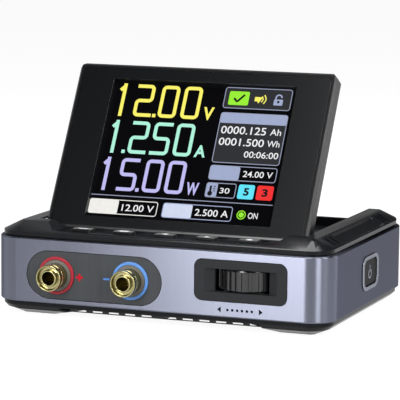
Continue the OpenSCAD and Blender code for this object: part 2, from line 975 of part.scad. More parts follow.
module key_switches() {
    top_z = key_board_z + key_board_t;
    in_case()
        for (i = [0 : key_count - 1])
            translate([key_x(i), key_y, top_z]) {
                color(steel)
                    translate([-2, -1.5, 0])
                        cube([4, 3, (key_stem_top - top_z) * 0.65]);
                color(black)
                    cylinder(r = 0.9, h = key_stem_top - top_z);
            }
}

module key_board() {
    color(green)
        in_case()
            difference() {
                block([-well_x - 1, well_front - 0.2, key_board_z],
                      [well_x + 1, ledge_back - cover_wall - 0.4, key_board_z + key_board_t]);
                for (x = [-1, 1])
                    translate([x * key_peg_x, key_y + 0.4, key_board_z - over])
                        cylinder(r = key_screw_r + run_gap, h = 3);
            }
}

module key_board_screws() {
    color(steel)
        in_case()
            for (x = [-1, 1])
                translate([x * key_peg_x, key_y + 0.4, key_board_z])
                    screw_up(key_screw_r, 1.2, 0.7, key_board_t + 2);
}

// Outline of the display housing: a straight near edge and two cut far corners
module screen_outline(grow) {
    w = screen_w / 2 + grow;
    l = screen_len + grow;
    c = frame_cut;
    polygon([[-w, 0], [w, 0], [w, l - c], [w - c, l], [c - w, l], [-w, l - c]]);
}

// Front frame: the face with its broken edges, the window, and half of the hinge barrel
module screen_frame() {
    top = hinge_r;
    half = screen_w / 2;
    b = frame_break;
    color(dark_grey)
        in_case()
            display_place()
                difference() {
                    union() {
                        linear_extrude(top - b)
                            screen_outline(0);
                        intersection() {
                            translate([0, 0, top - b])
                                linear_extrude(b)
                                    screen_outline(0);
                            // sides and far edge broken at 45 degrees
                            rotate([-90, 0, 0])
                                linear_extrude(screen_len)
                                    polygon([[-half, over - top], [-half, b - top], [b - half, -top],
                                             [half - b, -top], [half, b - top], [half, over - top]]);
                            rotate([90, 0, 90])
                                translate([0, 0, -half])
                                    linear_extrude(2 * half)
                                        polygon([[0, top - over], [screen_len, top - over],
                                                 [screen_len, top - b],
                                                 [screen_len - b, top], [0, top]]);
                        }
                        intersection() {
                            rotate([0, 90, 0])
                                cylinder(r = hinge_r, h = screen_w, center = true);
                            block([-half, -hinge_r, 0], [half, 0.1, hinge_r]);
                        }
                    }
                    // seat of the fascia, then the window
                    translate([0, 0, top - fascia_t])
                        linear_extrude(over)
                            fascia_outline(panel_gap);
                    fascia_wrap(panel_gap);
                    block([-window_w / 2, window_edge, -over],
                          [window_w / 2, window_edge + window_h, top + over]);
                    // room for the display module and, at the near edge, for the hinge
                    block([-module_w / 2 - 0.2, window_edge - 1.7, -over],
                          [module_w / 2 + 0.2, window_edge - 1.3 + module_h, glass_z]);
                    rotate([0, 90, 0]) {
                        cylinder(r = hinge_r - 1.1, h = 2 * knuckle_x, center = true);
                        cylinder(r = pin_r + run_gap, h = screen_w + 2 * over, center = true);
                    }
                    for (x = [-1, 1], y = [6, screen_len - 4])
                        translate([x * screen_screw_x, y, -over])
                            cylinder(r = 0.7 + run_gap, h = over + 1.4);
                }
}

fascia_t = 0.6;
fascia_edge = 1.6;

// Outline of the glossy fascia, set in from the housing's edges
module fascia_outline(grow) {
    w = screen_w / 2 - fascia_edge + grow;
    l = screen_len - fascia_edge + grow;
    c = frame_cut - 0.65;
    polygon([[-w, 0], [w, 0], [w, l - c], [w - c, l], [c - w, l], [-w, l - c]]);
}

// Near edge of the fascia, which wraps round the hinge barrel
module fascia_wrap(grow) {
    w = screen_w / 2 - fascia_edge + grow;
    intersection() {
        rotate([0, 90, 0])
            difference() {
                cylinder(r = hinge_r + grow, h = 2 * w, center = true);
                cylinder(r = hinge_r - fascia_t - grow / 5, h = 2 * w + 2 * over, center = true);
            }
        block([-w, -hinge_r - over, hinge_r / 2 - grow], [w, 0, hinge_r + over]);
    }
}

module screen_fascia() {
    color([0.2, 0.21, 0.22])
        in_case()
            display_place()
                difference() {
                    union() {
                        translate([0, 0, hinge_r - fascia_t])
                            linear_extrude(fascia_t)
                                fascia_outline(0);
                        fascia_wrap(0);
                    }
                    block([-window_w / 2, window_edge, 0],
                          [window_w / 2, window_edge + window_h, hinge_r + over]);
                }
}

// Back shell: a shallow dish, and the other half of the hinge barrel
module screen_back() {
    half = screen_w / 2;
    b = 0.6;
    color(black)
        in_case()
            display_place() {
                // ribs that the display's board rests on
                for (x = [-1, 0, 1])
                    block([x * module_w / 3 - 0.6, window_edge + 2, screen_skin - hinge_r - 0.2],
                          [x * module_w / 3 + 0.6, window_edge + module_h - 7,
                           pcb_top - display_pcb_t - 0.05]);
                difference() {
                    union() {
                        intersection() {
                            translate([0, 0, -hinge_r])
                                linear_extrude(hinge_r - 0.05)
                                    screen_outline(0);
                            rotate([-90, 0, 0])
                                linear_extrude(screen_len)
                                    polygon([[-half, -over], [half, -over], [half, hinge_r - b],
                                             [half - b, hinge_r], [b - half, hinge_r], [-half,
                                                                                        hinge_r - b]]);
                            rotate([90, 0, 90])
                                translate([0, 0, -half])
                                    linear_extrude(2 * half)
                                        polygon([[0, over], [screen_len, over],
                                                 [screen_len, b - hinge_r],
                                                 [screen_len - b, -hinge_r], [0, -hinge_r]]);
                        }
                        intersection() {
                            rotate([0, 90, 0])
                                cylinder(r = hinge_r, h = screen_w, center = true);
                            block([-half, -hinge_r, -hinge_r], [half, 0.1, -0.05]);
                        }
                    }
                    for (x = [-1, 1])
                        translate([x * half, 0, 0])
                            rotate([0, 90, 0])
                                cylinder(r = pin_r + run_gap, h = 3 * knuckle_l, center = true);
                    // dish for the module and its board
                    block([-module_w / 2 - 0.2, window_edge - 1.7, screen_skin - hinge_r],
                          [module_w / 2 + 0.2, window_edge - 1.3 + module_h, over]);
                    // cable way from the left knuckle to the board
                    block([-knuckle_x + 0.6, -1.2, -1.2],
                          [max(-knuckle_x + 5.6, lead_end + cable_r + 1), window_edge + 3, over]);
                    for (x = [-1, 1], y = [6, screen_len - 4])
                        translate([x * screen_screw_x, y, -hinge_r - over]) {
                            cylinder(r = 0.7 + run_gap, h = 6);
                            cylinder(r = 1.35 + slip_gap, h = over + 0.9);
                        }
                }
            }
}

module screen_screws() {
    color(steel)
        in_case()
            display_place()
                for (x = [-1, 1], y = [6, screen_len - 4])
                    translate([x * screen_screw_x, y, 0.9 - hinge_r])
                        screw_up(0.7, 1.35, 0.8, 2.4);
}

// Display glass on its backlight frame
module display_module() {
    color([0.02, 0.02, 0.03])
        in_case()
            display_place()
                difference() {
                    block([-module_w / 2, window_edge - 1.5, glass_z - module_t],
                          [module_w / 2, window_edge - 1.5 + module_h, glass_z - 0.05]);
                    for (x = [-1, 1])
                        translate([x * module_w / 2, window_edge - 1.5 + module_h / 2,
                                   glass_z - module_t - over])
                            cylinder(r = 1.2, h = 4);
                }
}

pcb_top = glass_z - module_t - 0.05;

module display_board() {
    color(green)
        in_case()
            display_place() {
                block([-module_w / 2 + 1, window_edge + 1, pcb_top - display_pcb_t],
                      [module_w / 2 - 1, window_edge + module_h - 6, pcb_top]);
            }
}

// Screen side of the cable, from the knuckle to the display board's edge
lead_end = -module_w / 2 + 0.25;

module display_lead() {
    color([0.1, 0.1, 0.1])
        in_case()
            display_place()
                union() {
                    translate([-knuckle_x + 1.2, 0, 0])
                        rotate([0, 90, 0])
                            cylinder(r = cable_r, h = lead_end + knuckle_x - 1.2 + cable_r);
                    translate([lead_end, 0, 0])
                        rotate([-90, 0, 0])
                            cylinder(r = cable_r, h = window_edge - 1.7);
                }
}

// Case side of the cable: along the hinge axis, then down to the main board
cable_r = 0.75;
cable_bend = 1.6;

module display_cable() {
    out_x = -pin_in_x - pin_len - cable_bend;
    color([0.1, 0.1, 0.1])
        in_case()
            union() {
                translate([out_x + cable_bend, hinge_y, hinge_z])
                    rotate([0, 90, 0])
                        cylinder(r = cable_r, h = -knuckle_x + 1 - out_x - cable_bend);
                translate([out_x + cable_bend, hinge_y, hinge_z - cable_bend])
                    rotate([90, 0, 0])
                        rotate([0, 0, 90])
                            rotate_extrude(angle = 90)
                                translate([cable_bend, 0])
                                    circle(cable_r);
                translate([out_x, hinge_y, board_top + 2.2])
                    cylinder(r = cable_r, h = hinge_z - cable_bend - board_top - 2.2);
                block([out_x - 1.6, hinge_y - 2.2, board_top],
                      [out_x + 1.6, hinge_y + 2.2, board_top + 2.2]);
            }
}

module hinge_tube() {
    color(steel)
        in_case()
            translate([-pin_in_x - pin_len, hinge_y, hinge_z])
                rotate([0, 90, 0])
                    difference() {
                        cylinder(r = pin_r, h = pin_len);
                        translate([0, 0, -over])
                            cylinder(r = cable_r + slip_gap, h = pin_len + 2 * over);
                    }
}

module hinge_pin() {
    color(steel)
        in_case()
            translate([pin_in_x, hinge_y, hinge_z])
                rotate([0, 90, 0])
                    cylinder(r = pin_r, h = pin_len);
}

// Friction washers between the knuckles and the tray's sides
module hinge_washers() {
    washer_t = screen_gap - 0.1;
    color(steel)
        in_case()
            for (x = [-1, 1])
                translate([x * (tray_x - washer_t / 2), hinge_y, hinge_z])
                    rotate([0, 90, 0])
                        difference() {
                            cylinder(r = hinge_r - 0.2, h = washer_t, center = true);
                            cylinder(r = pin_r + run_gap, h = 4, center = true);
                        }
}

module main_board() {
    color(green)
        in_case()
            difference() {
                block([-board_x, -board_y, board_z], [board_x, board_y, board_top]);
                at_posts()
                    cylinder(r = post_r + slip_gap, h = rim_z);
                for (at = board_screw_at)
                    translate([at[0], at[1], 0])
                        cylinder(r = screw_r + run_gap, h = rim_z);
                for (x = [-1, 1], y = [-1, 1])
                    translate([x * board_x, y * board_y, board_z - over])
                        cylinder(r = 4, h = 4);
                translate([fan_at[0], fan_at[1], board_z - over])
                    cylinder(r = fan_r - 3, h = 4);
            }
}

module board_screws() {
    color(steel)
        in_case()
            for (at = board_screw_at)
                translate([at[0], at[1], board_top])
                    mirror([0, 0, 1])
                        screw_up(screw_r, screw_head_r, 1.2, 4.2);
}

module power_transistors() {
    color(black)
        in_case()
            for (i = [0 : 3])
                translate([sink_x[0] + 1.5 + i * (sink_x[1] - sink_x[0] - 3) / 4, sink_y[0] + 3,
                           board_top])
                    cube([4.6, 6, chip_t]);
}

// Extruded heat sink with fins along the air flow
module heat_sink() {
    w = sink_x[1] - sink_x[0];
    fin = 0.9;
    step = (w - fin) / (fin_count - 1);
    color([0.7, 0.71, 0.73])
        in_case()
            block([sink_x[0], sink_y[0], board_top + chip_t],
                  [sink_x[1], sink_y[1], board_top + chip_t + 1.6]);
    color([0.7, 0.71, 0.73])
        in_case()
            for (i = [0 : fin_count - 1])
                translate([sink_x[0] + i * step, sink_y[0], board_top + chip_t + 1])
                    cube([fin, sink_y[1] - sink_y[0], sink_h - 1]);
}

// Moulded power inductor
module power_inductor() {
    color([0.3, 0.3, 0.32])
        in_case()
            translate([side_x - 50, front_y + 39, board_top]) {
                slab(14, 14, 1.5, 6.6);
                translate([0, 0, 6.6])
                    taper(14, 14, 1.5, 0.9, 0.9);
            }
}

// Electrolytic capacitors, each a can on its plastic foot
module capacitors() {
    in_case()
        for (i = [0 : 2])
            translate([side_x - 37 + i * 9.2, front_y + 23, board_top]) {
                color(black)
                    slab(8.3, 8.3, 1, 1);
                color([0.75, 0.76, 0.78])
                    rotate_extrude()
                        polygon([[0, 1], [3.9, 1], [3.9, 2.2], [3.7, 2.5], [3.9, 2.8],
                                 [3.9, 9.1], [3.6, 9.5], [0, 9.5]]);
            }
}

module control_chips() {
    color([0.1, 0.1, 0.11])
        in_case() {
            translate([side_x - 32, front_y + 36, board_top])
                slab(9, 9, 0.4, 1.4);
            translate([side_x - 18, front_y + 38, board_top])
                slab(6, 6, 0.3, 1);
            translate([-side_x + 33, front_y + 22, board_top])
                slab(5, 4, 0.3, 1.2);
        }
}

// Bent strip that measures the output current
module shunt_resistor() {
    color([0.6, 0.45, 0.35])
        in_case()
            translate([-side_x + 20, front_y + 23, board_top])
                difference() {
                    block([-4, -1.4, 0], [4, 1.4, 2.6]);
                    block([-3.2, -over - 1.4, -over], [3.2, over + 1.4, 1.8]);
                }
}

module buzzer() {
    color(black)
        in_case()
            translate([side_x - 47, front_y + 20, board_top])
                difference() {
                    cylinder(r = 4.5, h = 4);
                    translate([0, 0, 3])
                        cylinder(r = 0.9, h = 3);
                }
}

// Blower housing: a floor and a scroll wall, open to the heat sink
module fan_housing() {
    s = fan_side;
    color(black)
        in_case()
            translate([fan_at[0], fan_at[1], board_top])
                difference() {
                    translate([0, 0, 0])
                        slab(s, s, 3, fan_h);
                    translate([0, 0, fan_wall])
                        cylinder(r = fan_r + 1.2, h = fan_h);
                    block([-s / 2 + 3, 4, fan_wall], [s / 2 - fan_wall, s, fan_h + over]);
                    difference() {
                        translate([0, 0, -over])
                            cylinder(r = fan_r - 3.5, h = 3);
                        cylinder(r = 4, h = 5, center = true);
                        for (a = [0, 120, 240])
                            rotate(a + 30)
                                translate([0, -0.8, -over])
                                    cube([fan_r, 1.6, 4]);
                    }
                }
    color(steel)
        in_case()
            translate([fan_at[0], fan_at[1], board_top + fan_wall])
                cylinder(r = 0.75, h = fan_h - 2 * fan_wall);
}

module fan_lid() {
    s = fan_side;
    color(black)
        in_case()
            translate([fan_at[0], fan_at[1], board_top + fan_h])
                difference() {
                    slab(s, s, 3, 0.8);
                    translate([0, 0, -over])
                        cylinder(r = fan_r - 3, h = 3);
                }
}

// Impeller: a hub, a thin web and a ring of forward-curved blades
module fan_impeller() {
    blade_h = fan_h - fan_wall - 1.2;
    arc_r = 4.2;
    color([0.16, 0.16, 0.17])
        in_case()
            translate([fan_at[0], fan_at[1], board_top + fan_wall + 0.5])
                difference() {
                    union() {
                        cylinder(r = fan_r - 3.4, h = 0.7);
                        cylinder(r = fan_r - 6.2, h = blade_h);
                        linear_extrude(blade_h)
                            intersection() {
                                difference() {
                                    circle(fan_r);
                                    circle(fan_r - 3.6);
                                }
                                for (i = [0 : fan_blades - 1])
                                    rotate(i * 360 / fan_blades)
                                        translate([fan_r - 3.2, 0])
                                            difference() {
                                                circle(arc_r);
                                                circle(arc_r - 0.7);
                                                translate([-2 * arc_r, -arc_r])
                                                    square([4 * arc_r, arc_r]);
                                            }
                            }
                        linear_extrude(0.7)
                            difference() {
                                circle(fan_r - 0.1);
                                circle(fan_r - 3.6);
                            }
                    }
                    translate([0, 0, -over])
                        cylinder(r = 0.75 + run_gap, h = blade_h + 2 * over);
                }
}

// Connectors on the rear
jack_r = 4.2;
jack_x = side_x - 24;
jack_z = board_top + 5.4;
port_w = 9.2;
port_h = 3.5;
port_x = [side_x - 37.5, side_x - 51];
port_z = board_top + port_h / 2;

// Round low-voltage inlet with its centre pin
module dc_jack() {
    back_y = body_d / 2 - band_wall - flange_t - 0.2;
    color(black)
        in_case()
            translate([jack_x, 0, 0])
                difference() {
                    union() {
                        block([-4.6, back_y - 11, board_top], [4.6, back_y, board_top + 10.4]);
                        translate([0, back_y - over, jack_z])
                            rotate([-90, 0, 0])
                                cylinder(r = jack_r, h = body_d / 2 - back_y + over);
                    }
                    translate([0, back_y - 9, jack_z])
                        rotate([-90, 0, 0])
                            cylinder(r = 2.9, h = 40);
                }
    color(gold)
        in_case()
            translate([jack_x, back_y - 9.5, jack_z])
                rotate([-90, 0, 0])
                    cylinder(r = 1.25, h = 8.6 + body_d / 2 - back_y);
}

// Flat rounded connector shell with its tongue
module port(x) {
    depth = 8;
    mouth = body_d / 2 - 0.1;
    color(steel)
        in_case()
            on_rear(x, mouth, port_z)
                difference() {
                    slab(port_w, port_h, port_h / 2 - 0.05, depth);
                    translate([0, 0, -over])
                        slab(port_w - 0.7, port_h - 0.7, (port_h - 0.7) / 2 - 0.05, depth + over - 0.8);
                }
    color(black)
        in_case()
            block([x - 3.3, mouth - depth + 0.4, port_z - 0.35], [x + 3.3, mouth - 1, port_z + 0.35]);
}

module power_inlet() {
    port(port_x[0]);
}

module data_port() {
    port(port_x[1]);
}

housing_band();
top_cover();
base_cover();
foot_pads();
cover_screws();
rear_panel();
socket_panel();
positive_collar();
negative_collar();
socket_washers();
positive_socket();
negative_socket();
socket_nuts();
socket_tags();
wheel_bezel();
thumb_wheel();
wheel_encoder();
power_bezel();
power_button();
power_switch();
key_1();
key_2();
key_3();
key_4();
key_5();
key_switches();
key_board();
key_board_screws();
screen_frame();
screen_fascia();
screen_back();
screen_screws();
display_module();
display_board();
display_lead();
display_cable();
hinge_tube();
hinge_pin();
hinge_washers();
main_board();
board_screws();
power_transistors();
heat_sink();
power_inductor();
capacitors();
control_chips();
shunt_resistor();
buzzer();
fan_housing();
fan_lid();
fan_impeller();
dc_jack();
power_inlet();
data_port();
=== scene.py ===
import bpy
import bmesh
import json
import math
from mathutils import Color, Matrix, Vector

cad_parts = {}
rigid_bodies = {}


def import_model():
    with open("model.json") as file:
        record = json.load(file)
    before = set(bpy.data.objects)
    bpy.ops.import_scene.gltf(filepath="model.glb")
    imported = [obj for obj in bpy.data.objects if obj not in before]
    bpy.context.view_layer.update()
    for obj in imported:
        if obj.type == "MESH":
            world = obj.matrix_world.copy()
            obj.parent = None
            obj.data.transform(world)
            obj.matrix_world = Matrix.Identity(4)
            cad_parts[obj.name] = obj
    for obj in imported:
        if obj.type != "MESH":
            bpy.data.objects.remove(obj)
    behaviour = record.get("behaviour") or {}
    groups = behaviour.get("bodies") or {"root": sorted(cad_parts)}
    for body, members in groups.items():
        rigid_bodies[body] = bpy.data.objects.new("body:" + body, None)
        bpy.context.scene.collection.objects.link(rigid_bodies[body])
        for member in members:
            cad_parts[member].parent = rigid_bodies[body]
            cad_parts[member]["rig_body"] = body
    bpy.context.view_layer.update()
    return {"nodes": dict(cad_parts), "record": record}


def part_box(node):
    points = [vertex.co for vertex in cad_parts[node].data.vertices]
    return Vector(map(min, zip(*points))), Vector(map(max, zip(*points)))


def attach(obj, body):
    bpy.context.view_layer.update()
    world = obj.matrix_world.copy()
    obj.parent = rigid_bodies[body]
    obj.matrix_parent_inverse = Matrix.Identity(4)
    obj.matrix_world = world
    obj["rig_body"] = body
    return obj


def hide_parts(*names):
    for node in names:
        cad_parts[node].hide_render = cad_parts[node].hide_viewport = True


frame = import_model()
nodes = frame["nodes"]
bodyOf = {name: node["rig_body"] for name, node in nodes.items()}
slotOf = {part["node"]: part["material_slot"] for part in frame["record"]["subparts"]}
mm = 0.001
print("frame loaded:", len(nodes), "nodes")

cameraLook = {
    "place": (0.27224, -0.711783, 0.142181),     # m
    "azimuth": 20.93,        # degrees, from the front round to the right, then up, then leaning
    "elevation": 8.16,
    "roll": 0.501,
    "lens": 228.43,          # mm, on a sensor this wide
    "sensor": 36,
    "clip": (0.02, 20),
}


def setCamera(look):
    azimuth, elevation, roll = (math.radians(look[k]) for k in ("azimuth", "elevation", "roll"))
    back = Vector((math.sin(azimuth) * math.cos(elevation), -math.cos(azimuth) * math.cos(elevation),
                   math.sin(elevation)))
    right = Vector((math.cos(azimuth), math.sin(azimuth), 0))
    up = back.cross(right)
    x = right * math.cos(roll) + up * math.sin(roll)
    y = up * math.cos(roll) - right * math.sin(roll)
    camera = bpy.data.objects.new("camera", bpy.data.cameras.new("camera"))
    camera.data.sensor_width = look["sensor"]
    camera.data.lens = look["lens"]
    camera.data.clip_start, camera.data.clip_end = look["clip"]
    camera.matrix_world = Matrix.Translation(look["place"]) @ Matrix((x, y, back)).transposed().to_4x4()
    bpy.context.scene.collection.objects.link(camera)
    bpy.context.scene.camera = camera


setCamera(cameraLook)

studioLook = {
    "floorSize": 16.0,
    "floorCells": 8,
    "floorColour": (0.16, 0.16, 0.162),
    "floorLift": 0.93,             # white that the camera and reflections see on top of the floor's own
    "brightSide": (-0.9, 0.4, 0.15),     # way to the side of the room that is bright
    "worldLight": (0.02, 0.8),     # light of the dark side and of the bright side
    "worldRamp": (0.4, 1.0),       # cosines to the bright side between which the light rises
    "lamps": {                     # place, aim and size in m, power in W
        "front": ((-0.1, -0.46, 0.17), (0.0, 0, 0.05), (0.13, 0.34), 1.8),
        "right": ((0.37, -0.34, 0.18), (0, 0, 0.05), (0.15, 0.36), 1.4),
        "side": ((0.54, -0.08, 0.4), (0.03, 0, 0.06), (0.12, 0.22), 2.0),
        "back": ((0.3, 0.27, 0.15), (0.03, 0, 0.02), (0.12, 0.28), 0.3),
        "above": ((0.04, -0.25, 0.37), (0.02, 0, 0.05), (0.16, 0.16), 0.5),
        "rim": ((-0.055, 0.2, 0.44), (0.02, 0, 0.03), (0.2, 0.12), 0.9),
        "overhead": ((0.1, 0.05, 0.9), (0, 0, 0), (0.7, 0.7), 2.2),
    },
}


def lightPathSees(tree):
    path = tree.nodes.new("ShaderNodeLightPath")
    first = tree.nodes.new("ShaderNodeMath")
    second = tree.nodes.new("ShaderNodeMath")
    first.operation = second.operation = "MAXIMUM"
    tree.links.new(path.outputs["Is Camera Ray"], first.inputs[0])
    tree.links.new(path.outputs["Is Glossy Ray"], first.inputs[1])
    tree.links.new(first.outputs[0], second.inputs[0])
    tree.links.new(path.outputs["Is Transmission Ray"], second.inputs[1])
    return second.outputs[0]


def setWorld(look):
    world = bpy.data.worlds.new("studio")
    bpy.context.scene.world = world
    world.use_nodes = True
    tree = world.node_tree
    tree.nodes.clear()
    way = tree.nodes.new("ShaderNodeTexCoord")
    side = tree.nodes.new("ShaderNodeVectorMath")
    ramp = tree.nodes.new("ShaderNodeMapRange")
    light = tree.nodes.new("ShaderNodeBackground")
    out = tree.nodes.new("ShaderNodeOutputWorld")
    side.operation = "DOT_PRODUCT"
    side.inputs[1].default_value = Vector(look["brightSide"]).normalized()
    ramp.interpolation_type = "SMOOTHSTEP"
    ramp.inputs["From Min"].default_value, ramp.inputs["From Max"].default_value = look["worldRamp"]
    ramp.inputs["To Min"].default_value, ramp.inputs["To Max"].default_value = look["worldLight"]
    tree.links.new(way.outputs["Generated"], side.inputs[0])
    tree.links.new(side.outputs["Value"], ramp.inputs["Value"])
    tree.links.new(ramp.outputs[0], light.inputs["Strength"])
    tree.links.new(light.outputs[0], out.inputs[0])


def setFloor(look):
    bm = bmesh.new()
    cells = look["floorCells"]
    bmesh.ops.create_grid(bm, x_segments=cells, y_segments=cells, size=look["floorSize"] / 2)
    mesh = bpy.data.meshes.new("floor")
    bm.to_mesh(mesh)
    bm.free()
    floor = bpy.data.objects.new("floor", mesh)
    bpy.context.scene.collection.objects.link(floor)
    paint = bpy.data.materials.new("floorPaint")
    paint.use_nodes = True
    tree = paint.node_tree
    tree.nodes.clear()
    diffuse = tree.nodes.new("ShaderNodeBsdfDiffuse")
    glow = tree.nodes.new("ShaderNodeEmission")
    both = tree.nodes.new("ShaderNodeAddShader")
    scale = tree.nodes.new("ShaderNodeMath")
    out = tree.nodes.new("ShaderNodeOutputMaterial")
    diffuse.inputs["Color"].default_value = (*look["floorColour"], 1)
    scale.operation = "MULTIPLY"
    scale.inputs[1].default_value = look["floorLift"]
    tree.links.new(lightPathSees(tree), scale.inputs[0])
    tree.links.new(scale.outputs[0], glow.inputs["Strength"])
    tree.links.new(diffuse.outputs[0], both.inputs[0])
    tree.links.new(glow.outputs[0], both.inputs[1])
    tree.links.new(both.outputs[0], out.inputs[0])
    mesh.materials.append(paint)


def setLamps(look):
    for name, (place, aim, size, power) in look["lamps"].items():
        lamp = bpy.data.lights.new(name, "AREA")
        lamp.shape = "RECTANGLE"
        lamp.size, lamp.size_y = size
        lamp.energy = power
        holder = bpy.data.objects.new(name, lamp)
        holder.location = place
        holder.rotation_mode = "QUATERNION"
        holder.rotation_quaternion = (Vector(aim) - Vector(place)).to_track_quat("-Z", "Y")
        holder.visible_camera = False
        bpy.context.scene.collection.objects.link(holder)


bpy.context.scene.view_settings.view_transform = "Standard"
setWorld(studioLook)
setFloor(studioLook)
setLamps(studioLook)
print("camera and studio set")


surfaceLook = {                  # what all finishes share
    "cloudScale": 60,            # slow change of tone
    "grainScale": 4000,          # fine grain for roughness and bump
    "detail": (3, 2),            # of the cloud and of the grain
    "spread": (0.3, 0.7),        # part of the noise that tones and roughness are drawn over
    "tone": 0.08,
    "bumpDepth": 0.02,           # mm
    "sheenRoughness": 0.25,
    "dimmed": 0.05,              # part of its colour that a lit dot keeps under other light
}


def surface(name, look):
    look = {**surfaceLook, **look}
    paint = bpy.data.materials.new(name)
    paint.use_nodes = True
    tree = paint.node_tree
    shader = tree.nodes["Principled BSDF"]
    place = tree.nodes.new("ShaderNodeTexCoord")
    stretch = tree.nodes.new("ShaderNodeMapping")
    stretch.inputs["Scale"].default_value = look.get("stretch", (1, 1, 1))
    tree.links.new(place.outputs["Object"], stretch.inputs["Vector"])

    cloud = tree.nodes.new("ShaderNodeTexNoise")
    cloud.inputs["Scale"].default_value = look["cloudScale"]
    cloud.inputs["Detail"].default_value = look["detail"][0]
    tree.links.new(stretch.outputs[0], cloud.inputs["Vector"])
    tones = tree.nodes.new("ShaderNodeValToRGB")
    darker, lighter = tones.color_ramp.elements
    darker.position, lighter.position = look["spread"]
    darker.color = (*[c * (1 - look["tone"]) for c in look["colour"]], 1)
    lighter.color = (*[min(1, c * (1 + look["tone"])) for c in look["colour"]], 1)
    tree.links.new(cloud.outputs[0], tones.inputs[0])
    tree.links.new(tones.outputs[0], shader.inputs["Base Color"])

    grain = tree.nodes.new("ShaderNodeTexNoise")
    grain.inputs["Scale"].default_value = look["grainScale"]
    grain.inputs["Detail"].default_value = look["detail"][1]
    tree.links.new(stretch.outputs[0], grain.inputs["Vector"])
    rough = tree.nodes.new("ShaderNodeMapRange")
    rough.inputs["From Min"].default_value, rough.inputs["From Max"].default_value = look["spread"]
    rough.inputs["To Min"].default_value, rough.inputs["To Max"].default_value = look["roughness"]
    tree.links.new(grain.outputs[0], rough.inputs[0])
    tree.links.new(rough.outputs[0], shader.inputs["Roughness"])
    if look.get("bump", 0):
        bump = tree.nodes.new("ShaderNodeBump")
        bump.inputs["Strength"].default_value = look["bump"]
        bump.inputs["Distance"].default_value = look["bumpDepth"] * mm
        tree.links.new(grain.outputs[0], bump.inputs["Height"])
        tree.links.new(bump.outputs[0], shader.inputs["Normal"])
    if look.get("glow", 0):
        tree.links.new(tones.outputs[0], shader.inputs["Emission Color"])
        shader.inputs["Emission Strength"].default_value = look["glow"]
    if look.get("lit"):                               # a lit dot of the display takes next to no other light
        dim = tree.nodes.new("ShaderNodeVectorMath")
        dim.operation = "SCALE"
        dim.inputs["Scale"].default_value = look["dimmed"]
        tree.links.new(tones.outputs[0], dim.inputs[0])
        tree.links.new(dim.outputs[0], shader.inputs["Base Color"])
    shader.inputs["Metallic"].default_value = look.get("metallic", 0)
    shader.inputs["Specular IOR Level"].default_value = look.get("specular", 0.5)
    shader.inputs["Specular Tint"].default_value = (*look.get("edgeTint", (1, 1, 1)), 1)
    shader.inputs["Sheen Weight"].default_value = look.get("sheen", 0)
    shader.inputs["Sheen Roughness"].default_value = look["sheenRoughness"]
    shader.inputs["Anisotropic"].default_value = look.get("anisotropic", 0)
    shader.inputs["Anisotropic Rotation"].default_value = look.get("anisotropicTurn", 0)
    return paint


